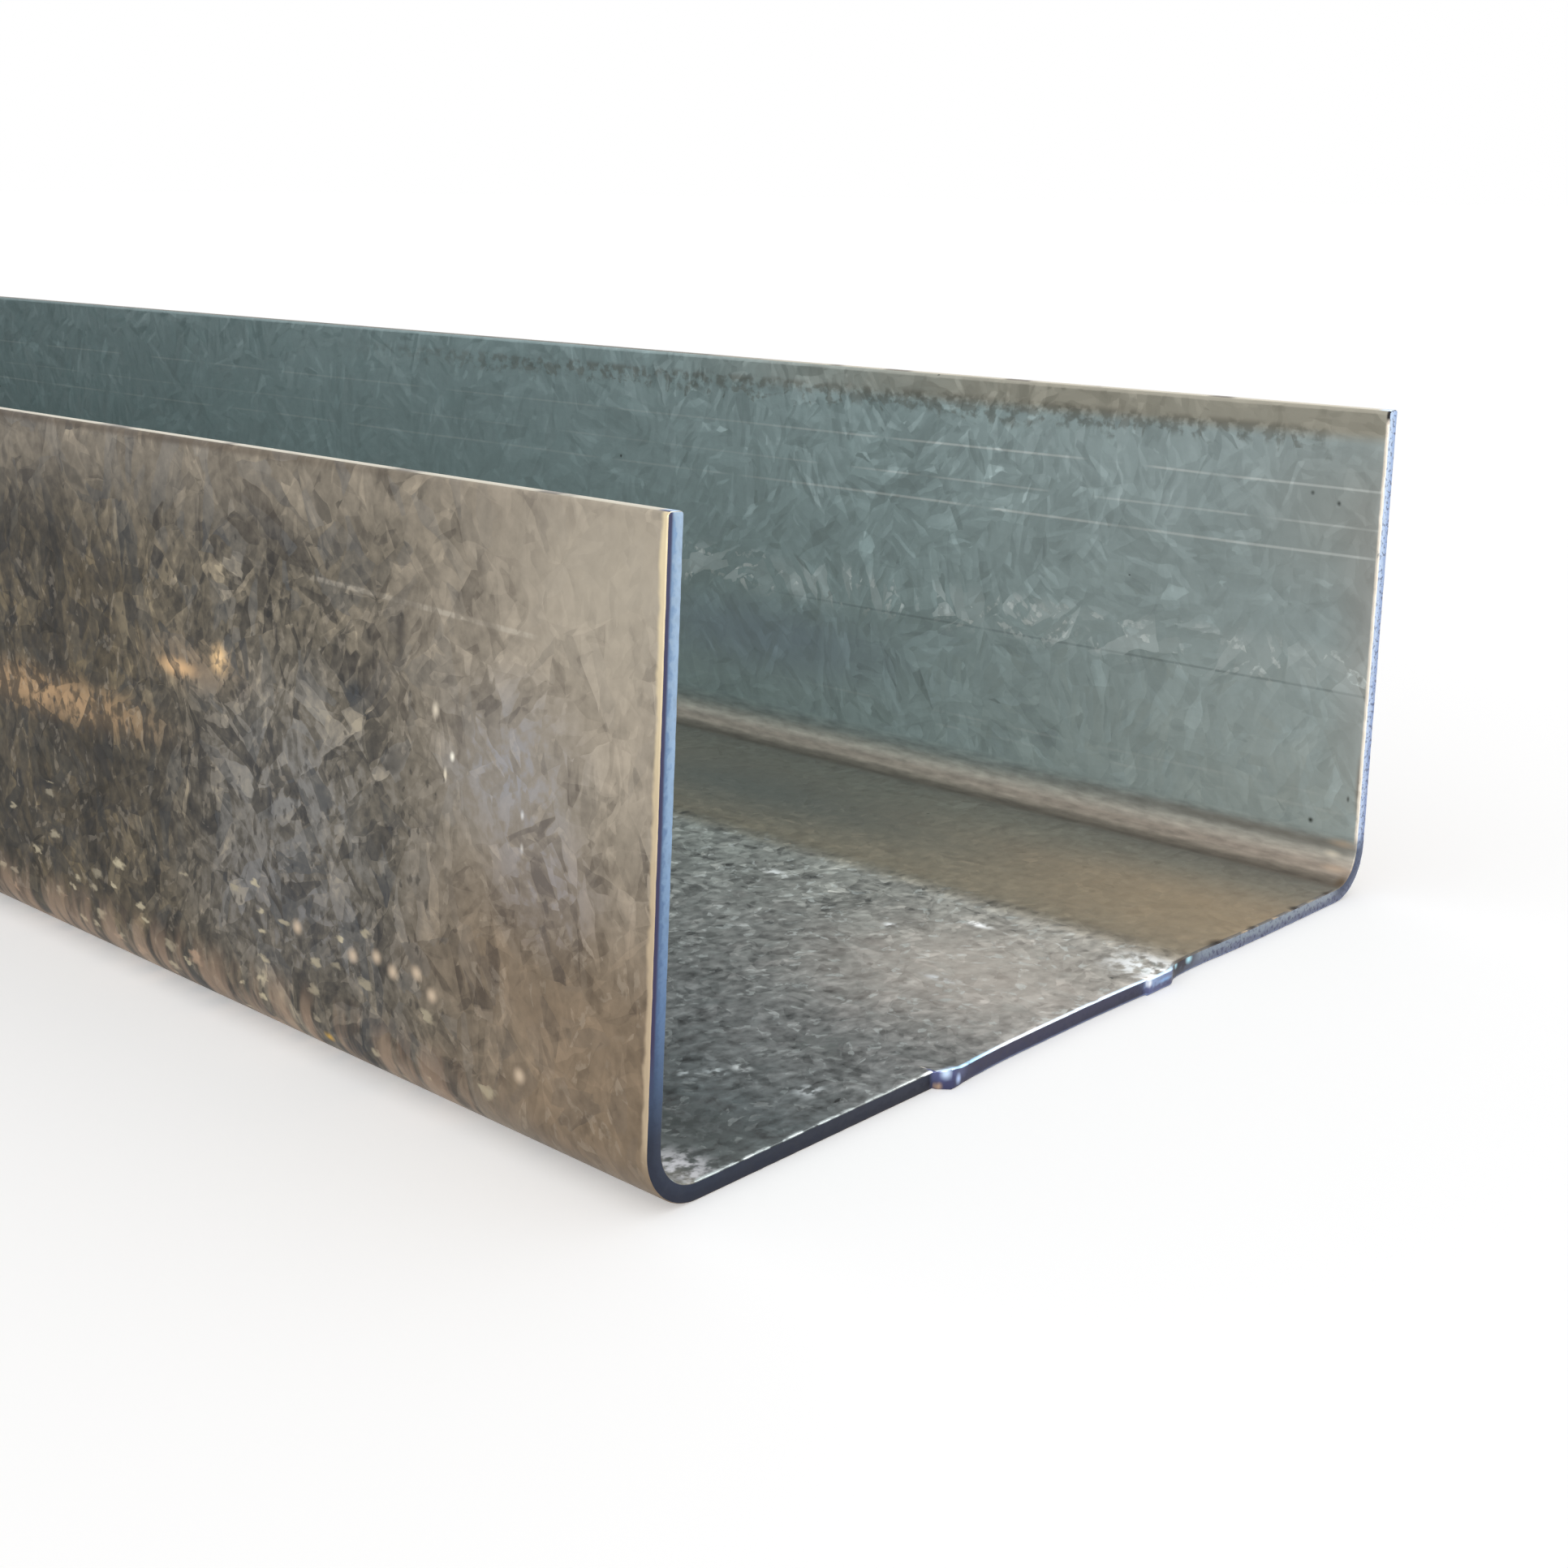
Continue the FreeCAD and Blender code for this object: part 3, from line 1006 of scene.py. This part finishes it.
# %% Inside: light and dark
def inside_parts(s):
    """Masks of the open web, of its near side and of the far bend."""
    on_web = ease(s, WEB_START - 2, WEB_START + 4) * ease(s, 117.0, 112.0)
    near_web = on_web * ease(s, 100.0, 60.0)
    in_bend = ease(s, WEB_END - 1, WEB_END + 1) * ease(s, FLANGE_START + 1.6, FLANGE_START + 0.3)
    return on_web, near_web, in_bend


def inside_swing(place, s, zinc, cloud, calm, on_web, near_web, in_bend):
    contrast = (on_web + calm - near_web * 0.3) * (1.0 - in_bend)
    slow = streaks(place, 0.02, 0.06, 3.0) - 0.5
    swing = slow * 0.2 + (zinc["Tone"] - 0.5) * contrast
    shaded = ease(s, 112.0, 116.0) * ease(s, WEB_END, WEB_END - 2)
    cloudy = on_web * 1.3 + near_web * 1.1 + shaded * 0.35 + 0.15
    swing = (cloud - 0.5) * cloudy + swing
    streaky = in_bend * 0.85 + 0.08
    return (streaks(place, 0.35, 1.5, 6.0) - 0.5) * streaky + swing


# %% [markdown]
# On top of the zones come pale scratches from the rolls, one dark line, painted sparkle as highlights in a
# band on the far flange and over the web, and stains: a mottled one under the slit edge and a brown one
# beside the cut.

# %% Inside: marks and dirt
SCRATCHES = [(185.0, 0.24, 0.42, 0.45), (181.1, 0.22, 0.46, 0.32), (178.25, 0.26, 0.4, 0.48),
             (153.0, 0.3, 0.52, 0.12), (151.4, 0.3, 0.55, 0.12)]
DARK_LINE = (164.1, 0.25, 0.35)
BAND_ACROSS = 166.2


def inside_marks(colour, place, s, back, zinc, on_web, near_web):
    """Scratches, each (across, width, broken, strength), then the dark line and painted sparkle highlights.
    """
    fade = ease(back, 95.0, 50.0) * 0.75 + 0.25
    for across, width, broken, strength in SCRATCHES:
        scratch = roll_mark(place, across, width, broken)
        colour = blend(scratch * fade * strength, colour, (218, 222, 218))
    dark = roll_mark(place, *DARK_LINE) * ease(back, 95.0, 65.0)
    colour = blend(dark * 0.3, colour, (84, 94, 94))
    # Painted highlights: a band of sparkle on the far flange and glints over the web.
    band = ease(calc("ABSOLUTE", s - BAND_ACROSS), 3.6, 1.0) * ease(back, 135.0, 95.0)
    band_sparkle = (zinc["Tint"] * 0.5 + zinc["Glint"]) * band * 0.65
    web_sparkle = zinc["Glint"] * (on_web * 0.3 - near_web * 0.18)
    return blend(web_sparkle + band_sparkle, colour, (206, 214, 212))


def inside_dirt(colour, place, s, back, zinc):
    ragged = (zinc["Tone"] - 0.5) * 3.0 + s
    under_edge = ease(ragged, 188.2, 189.3) * ease(s, 191.2, 190.4)
    along = ease(back, 190.0, 110.0) * ease(back, 4.0, 9.0)
    overlay = ease(streaks(place, 0.7, 0.8, 3.0), 0.38, 0.6) * under_edge * along
    colour = blend(overlay * 0.55, colour, (92, 90, 80))
    specks = dots(place, 9.0, 0.35, 1.0, 0.05)
    return blend(specks["Mask"] * 0.8, colour, (48, 50, 48))


# %% [markdown]
# Where the saw left the inner face, a thin rim is painted with the light it catches: painted highlights,
# pale on the web, blue-white on the bead and the tab, dark painted shade in between, and bright on the far
# flange. A ramp with a strength for each stop holds it, and a noise breaks it up.

# %% Inside: the rim at the cut
# Painted highlights along the rim, with painted shade where the far flange's shadow falls.
RIM_LIGHT_AND_SHADE = [
    (44.0, (150, 160, 158, 0.3)),
    (52.0, (150, 158, 158, 0.6)),
    (66.0, (150, 157, 157, 0.6)),
    (76.2, (150, 156, 154, 0.6)),
    (76.9, (240, 240, 240, 0.9)),
    (78.3, (190, 222, 250, 0.9)),
    (82.0, (170, 214, 246, 0.9)),
    (86.0, (228, 234, 242, 0.9)),
    (110.8, (200, 226, 250, 0.95)),
    (111.8, (104, 98, 92, 0.8)),
    (140.0, (116, 112, 110, 0.75)),
    (143.0, (100, 92, 86, 0.3)),
    (148.0, (150, 144, 140, 0.4)),
    (149.5, (252, 244, 230, 1.0)),
    (191.7, (252, 240, 224, 1.0)),
    (192.2, (26, 24, 26, 1.0)),
]
RIM_STAINS = [
    (0.0, 113.5, 0.8, 1.4, (70, 56, 48), 1.0),
    (0.0, 119.8, 1.5, 2.0, (40, 28, 20), 1.0),
    (0.0, 126.0, 0.9, 0.9, (64, 50, 40), 0.9),
    (0.0, 134.0, 1.2, 1.1, (40, 30, 24), 1.0),
    (0.0, 140.5, 0.9, 1.0, (70, 58, 46), 0.9),
]


def inside_rim(colour, place, s, back):
    rim = across_ramp(s, RIM_LIGHT_AND_SHADE)
    patchy = noise(vector(s, back * 1.5), 0.55, 3.0)
    strength = ease(rim["Alpha"] * 0.6 + patchy, 0.75, 0.95)
    colour = blend(ease(back, 0.45, 0.2) * strength, colour, rim["Color"])
    return lay_patches(place, colour, RIM_STAINS)


# %% Inside finish
# Stains and painted light: a bluish painted reflection low on the far flange, painted shade on the web's
# shaded part, painted lighter patches by the cut, a painted highlight by the bead, a tan patch by the cut on
# the shaded web, and small dark stains in the bend and on the far flange.
INSIDE_STAINS_AND_LIGHT = [
    (85.0, 158.0, 34.0, 7.0, (124, 138, 150), 0.55),
    (8.0, 147.9, 48.0, 1.1, (122, 115, 106), 0.6),
    (0.0, 182.0, 20.0, 14.0, (150, 151, 145), 0.65),
    (70.0, 128.0, 60.0, 16.0, (95, 105, 103), 0.75),
    (4.0, 126.0, 34.0, 15.0, (184, 160, 128), 0.5),
    (12.0, 98.0, 24.0, 20.0, (176, 166, 156), 0.55),
    (0.2, 155.0, 0.7, 5.0, (120, 102, 84), 0.9),
    (1.6, 148.2, 2.4, 0.7, (196, 176, 154), 0.6),
    (1.8, 145.4, 2.4, 0.7, (194, 172, 150), 0.6),
    (2.6, 146.9, 1.4, 0.6, (216, 206, 188), 0.8),
    (0.4, 144.0, 1.0, 1.6, (98, 80, 60), 0.8),
    (5.5, 150.0, 0.45, 0.45, (52, 58, 54), 1.0),
    (1.4, 153.1, 0.25, 0.5, (62, 68, 64), 0.9),
    (4.8, 183.4, 0.35, 0.4, (70, 76, 74), 0.9),
    (7.8, 184.2, 0.35, 0.35, (84, 90, 88), 0.9),
    (0.0, 170.0, 6.0, 24.0, (164, 164, 160), 0.7),
    (0.0, 78.6, 1.0, 1.1, (196, 218, 246), 0.8),
]
# Painted light on the web: white painted glints and pale strokes of painted highlight, and two dark patches
# of painted shade.
WEB_GLINTS_AND_SHADE = [
    (2.0, 109.5, 5.6, 4.4, (240, 242, 244), 1.0),
    (3.0, 51.0, 6.0, 4.0, (178, 178, 182), 1.0),
    (20.0, 108.0, 2.6, 1.0, (255, 255, 255), 1.0),
    (26.0, 102.0, 1.2, 0.8, (236, 238, 238), 1.0),
    (45.0, 106.0, 2.6, 1.2, (214, 218, 218), 0.9),
    (13.6, 94.0, 2.6, 0.8, (206, 208, 210), 0.9),
    (5.0, 67.7, 1.8, 1.8, (186, 192, 194), 0.9),
    (8.0, 57.0, 8.0, 5.5, (24, 32, 30), 0.9),
    (11.0, 75.5, 5.0, 4.0, (62, 67, 64), 0.7),
    (14.6, 63.2, 1.5, 1.2, (172, 180, 182), 0.9),
    (13.4, 65.2, 1.5, 1.2, (172, 180, 182), 0.9),
    (12.4, 67.2, 1.5, 1.2, (190, 196, 196), 0.9),
]


def zinc_inside():
    material, tree, shader = new_finish("zinc_inside")
    place = strip_place(tree)
    _, s, back = parts_of(place)
    web_side = calc("GREATER_THAN", s, WEB_START) * calc("LESS_THAN", s, WEB_END + 0.6)
    zinc = use(SPANGLE, {"Place": place, "Leaf Width": 1.5, "Mottle": 0.25,
                         "Grain Size": 9.0 - web_side * 3.5, "Leaf Length": 5.6 - web_side * 2.6})
    cloud = streaks(place, 0.9, 0.7, 6.0)
    calm = ease(back, 4.0, 60.0) * 0.16 + 0.22 - ease(back, 60.0, 135.0) * 0.2
    on_web, near_web, in_bend = inside_parts(s)
    swing = inside_swing(place, s, zinc, cloud, calm, on_web, near_web, in_bend)
    colour = brightened(inside_base(s, back), swing + 1.0)
    # The web painted darker away from the cut: a painted falloff of the light.
    web_falloff = on_web * ease(back, 8.0, 60.0)
    colour = blend(web_falloff * 0.8, colour, (210, 218, 220), "MULTIPLY")
    colour = lay_patches(place, colour, INSIDE_STAINS_AND_LIGHT)
    beige = ease(s, 189.2, 190.8) * ease(back, 110.0, 35.0)
    colour = blend(beige * 0.9, colour, (158, 152, 137))
    colour = lay_patches(place, colour, WEB_GLINTS_AND_SHADE, ease(cloud, 0.4, 0.62))
    colour = inside_marks(colour, place, s, back, zinc, on_web, near_web)
    colour = inside_dirt(colour, place, s, back, zinc)
    colour = inside_rim(colour, place, s, back)
    dress(shader, colour, 0.5, 0.5 - zinc["Tone"] * 0.15)
    tilt(shader, zinc, (calm * 0.35 + 0.02) * (1.0 - in_bend))
    return material


inside = zinc_inside()
print("inside:", len(inside.node_tree.nodes), "nodes")

# %% [markdown]
# The cut shows bare steel, with its light painted on. Two ramps across the strip hold the colours of its
# upper and lower halves: painted blue-white reflections on the flanges, dark slate along the web, and
# painted highlights on the bead and the tab, where the metal curls up to the light. Dark flecks break up
# the right half.

# %% The cut's colours
# Painted reflections and highlights on the cut's upper and lower halves.
UPPER_CUT = [
    (0.0, (168, 192, 216)), (20.0, (146, 174, 204)), (34.0, (98, 126, 164)), (44.0, (44, 52, 70)),
    (60.0, (46, 50, 62)), (77.4, (50, 53, 66)), (77.6, (86, 92, 132)), (79.9, (84, 88, 120)),
    (80.9, (62, 60, 80)), (106.2, (62, 62, 84)), (107.0, (150, 170, 206)), (110.5, (124, 136, 172)),
    (111.6, (46, 42, 52)), (115.0, (60, 56, 66)), (117.0, (136, 147, 160)), (141.0, (146, 155, 166)),
    (143.0, (74, 82, 102)), (148.0, (84, 96, 122)), (149.5, (190, 208, 238)), (STRIP_END, (206, 226, 252)),
]
LOWER_CUT = [
    (0.0, (130, 158, 190)), (34.0, (80, 104, 140)), (44.0, (38, 44, 60)), (77.4, (38, 41, 54)),
    (77.6, (70, 72, 106)), (80.2, (58, 58, 84)), (106.2, (50, 50, 70)), (107.0, (100, 106, 144)),
    (110.8, (84, 84, 114)), (111.6, (38, 34, 42)), (117.0, (112, 118, 138)), (141.0, (108, 114, 136)),
    (148.0, (80, 92, 118)), (150.0, (136, 156, 198)), (STRIP_END, (172, 196, 234)),
]
# Painted glints on the bead and the tab.
CUT_GLINTS = [
    (0.25, 78.0, 0.7, 0.45, (206, 226, 252), 1.0),
    (0.85, 79.2, 0.6, 0.55, (190, 210, 250), 1.0),
    (1.25, 77.6, 0.5, 0.3, (196, 164, 130), 0.7),
    (0.3, 107.1, 0.6, 0.5, (244, 248, 255), 1.0),
    (0.6, 109.6, 0.3, 1.6, (150, 190, 236), 0.8),
    (0.2, 112.4, 0.5, 0.5, (180, 226, 240), 0.9),
    (0.3, 114.9, 0.6, 0.8, (190, 238, 252), 1.0),
]


def cut_steel(x, s, depth, fine):
    """Bare steel; the glints are placed by their depth in the strip and their place across it."""
    ripple = (fine - 0.5) * 0.9 + depth
    colour = blend(ease(ripple, 0.3, 0.7), across_ramp(s, UPPER_CUT), across_ramp(s, LOWER_CUT))
    colour = brightened(colour, (fine - 0.5) * 0.5 + 1.0)
    purple = ease(depth, 0.6, 0.8) * ease(s, 42.0, 36.0)
    colour = blend(purple * 0.9, colour, (58, 48, 78))
    # A painted highlight along the lower edge of the cut, right of the bead.
    lower_line = ease(depth, 0.8, 0.95) * ease(s, 80.0, 84.0)
    colour = blend(lower_line * 0.7, colour, (150, 168, 206))
    edge_place = vector(x, s, depth * (STRIP_THICKNESS / MM))
    colour = lay_patches(edge_place, colour, CUT_GLINTS)
    flecks = ease(noise(vector(s, depth * 1.2), 2.6, 2.0), 0.56, 0.64)
    fleck_share = ease(s, 115.0, 119.0) * (depth * 0.5 + 0.35)
    return blend(flecks * fleck_share, colour, (58, 58, 92))


# %% [markdown]
# The slit edges use the same finish as the cut, but there the zinc was sheared long before and has gone
# cream. The square cut at the far end is plain grey steel.

# %% Raw edge finish
FAR_END = 2300.0


def raw_steel():
    material, tree, shader = new_finish("raw_steel")
    x, s, back = parts_of(strip_place(tree))
    depth = add(tree, "ShaderNodeAttribute", attribute_name="depth")["Fac"]
    fine = noise(vector(s, depth * 1.6), 1.6, 4.0)
    colour = cut_steel(x, s, depth, fine)
    slit = ease(back, 0.6, 1.6) * ease(back, FAR_END + 1.0, FAR_END)
    uneven = ease(noise(vector(x * 0.12, s), 1.0, 3.0), 0.52, 0.66)
    cream = blend(uneven, (188, 182, 166), (112, 106, 96))
    # Darker along the far flange's slit edge away from the cut: painted shade.
    shaded = ease(back, 70.0, 105.0) * ease(s, 90.0, 100.0)
    colour = blend(slit, colour, blend(shaded * 0.8, cream, (62, 60, 54)))
    rear = ease(back, FAR_END, FAR_END + 1.0)
    colour = blend(rear, colour, (112, 120, 134))
    dress(shader, colour, 0.6, fine * 0.3 + 0.25)
    return material


raw_edge = raw_steel()
print("finishes:", [m.name for m in (outside, inside, raw_edge)])

# %% [markdown]
# Now the strip is rolled, its arrises are rounded by a Bevel modifier, and the end is roughened. The
# evaluated result becomes a plain mesh, which rides on the part's one body and stands for the measured
# solid.

# %% Roll the strip
ARRIS_RADIUS = 0.4 * MM

blank_mesh = bpy.data.meshes.new("purlin_blank")
blank = bpy.data.objects.new("purlin_blank", blank_mesh)
bpy.context.collection.objects.link(blank)
rolling = blank.modifiers.new("rolled strip", "NODES")
rolling.node_group = strip_tree()
rounding = blank.modifiers.new("rounded arrises", "BEVEL")
rounding.limit_method = "WEIGHT"
rounding.width = ARRIS_RADIUS
rounding.segments = 3
cutting = blank.modifiers.new("rough cut", "NODES")
cutting.node_group = cut_tree(outside, inside, raw_edge)
bpy.context.view_layer.update()
ready = blank.evaluated_get(bpy.context.evaluated_depsgraph_get())
mesh = bpy.data.meshes.new_from_object(ready)
if mesh.materials[0] is None:
    mesh.materials.pop(index=0)
bpy.data.objects.remove(blank)
mesh.name = "purlin_strip"
strip = bpy.data.objects.new("purlin_strip", mesh)
bpy.context.collection.objects.link(strip)
triangles = sum(len(p.vertices) - 2 for p in mesh.polygons)
print("strip:", len(mesh.vertices), "vertices,", triangles, "triangles")
print("finishes in use:", [m.name for m in mesh.materials], "maps:", [m.name for m in mesh.uv_layers])

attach(strip, "root")
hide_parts("purlin")

# %% [markdown]
# The camera stands where the photograph was taken from: low, left of the cut end and looking back along
# the channel.

# %% Camera
FOCAL_PIXELS = 2567.4
PHOTO_PIXELS = 1932
HEADING, PITCH, ROLL = (math.radians(a) for a in (132.68, -15.87, 0.55))
EYE = Vector((CUT_X + 95.85 * MM, -WEB_WIDTH / 2 - 91.07 * MM, 69.95 * MM))

camera_data = bpy.data.cameras.new("camera")
camera_data.sensor_width = 36.0
camera_data.lens = FOCAL_PIXELS / PHOTO_PIXELS * camera_data.sensor_width
camera_data.clip_start = 0.01
camera = bpy.data.objects.new("camera", camera_data)
turn = Matrix.Rotation(HEADING - math.pi / 2, 4, "Z") @ Matrix.Rotation(math.pi / 2 + PITCH, 4, "X")
camera.matrix_world = Matrix.Translation(EYE) @ turn @ Matrix.Rotation(ROLL, 4, "Z")
bpy.context.collection.objects.link(camera)
bpy.context.scene.camera = camera
print("camera lens:", round(camera_data.lens, 2), "mm")

# %% [markdown]
# The floor is white paper under an even white sky. A little of the floor's white is its own, for the
# camera and for reflections, so that it meets the sky without a seam and still keeps the soft shadow. The
# sky lights a little less than it shows, to leave room for two lamps. One narrow lamp stands on the far
# side, high up: it throws the far flange's shadow along the web and makes the zinc sparkle. A broad, weak
# one near the camera fills the near side. Both are linked to the strip alone, as a flag in a studio would
# keep them off the paper.

# %% Floor
FLOOR_REACH = 20.0
FLOOR_WHITE = 0.9
FLOOR_SEEN = 1.02
SKY_LEVEL = 0.75


def seen_directly(tree):
    """One for the camera and for reflections, zero for light that a surface gathers."""
    path = add(tree, "ShaderNodeLightPath")
    seen = calc("MAXIMUM", path["Is Camera Ray"], path["Is Glossy Ray"])
    return calc("MAXIMUM", seen, path["Is Transmission Ray"])


floor_mesh = bpy.data.meshes.new("floor")
corners = [(-FLOOR_REACH, -FLOOR_REACH, 0), (FLOOR_REACH, -FLOOR_REACH, 0),
           (FLOOR_REACH, FLOOR_REACH, 0), (-FLOOR_REACH, FLOOR_REACH, 0)]
floor_mesh.from_pydata(corners, [], [(0, 1, 2, 3)])
floor = bpy.data.objects.new("floor", floor_mesh)
paper, paper_tree, paper_shader = new_finish("white_paper")
paper_shader.inputs["Base Color"].default_value = (FLOOR_WHITE, FLOOR_WHITE, FLOOR_WHITE, 1)
paper_shader.inputs["Roughness"].default_value = 1.0
paper_shader.inputs["Specular IOR Level"].default_value = 0.0
paper_shader.inputs["Emission Color"].default_value = (1, 1, 1, 1)
own_white = FLOOR_SEEN - FLOOR_WHITE * SKY_LEVEL
feed(paper_shader.inputs["Emission Strength"], seen_directly(paper_tree) * own_white)
floor_mesh.materials.append(paper)
bpy.context.collection.objects.link(floor)

# %% Light
world = bpy.data.worlds.new("studio")
bpy.context.scene.world = world
world.use_nodes = True
sky = world.node_tree.nodes["Background"]
sky.inputs["Color"].default_value = (1, 1, 1, 1)
feed(sky.inputs["Strength"], seen_directly(world.node_tree) * (1.0 - SKY_LEVEL) + SKY_LEVEL)

key_data = bpy.data.lights.new("key", "SUN")
key_data.energy = 2.0
key_data.angle = math.radians(2)
key = bpy.data.objects.new("key", key_data)
key.rotation_euler = (math.radians(-33), 0, 0)
bpy.context.collection.objects.link(key)
lit = bpy.data.collections.new("lit by the lamps")
lit.objects.link(strip)
key.light_linking.receiver_collection = lit

fill_data = bpy.data.lights.new("fill", "AREA")
fill_data.energy = 1.2
fill_data.size = 0.25
fill = bpy.data.objects.new("fill", fill_data)
fill_at = Vector((CUT_X + 0.16, -0.30, 0.22))
fill_aim = Vector((CUT_X - 0.02, 0.02, 0.02))
fill.location = fill_at
fill.rotation_euler = (fill_aim - fill_at).to_track_quat("-Z", "Y").to_euler()
bpy.context.collection.objects.link(fill)
fill.light_linking.receiver_collection = lit

bpy.context.scene.view_settings.view_transform = "Standard"
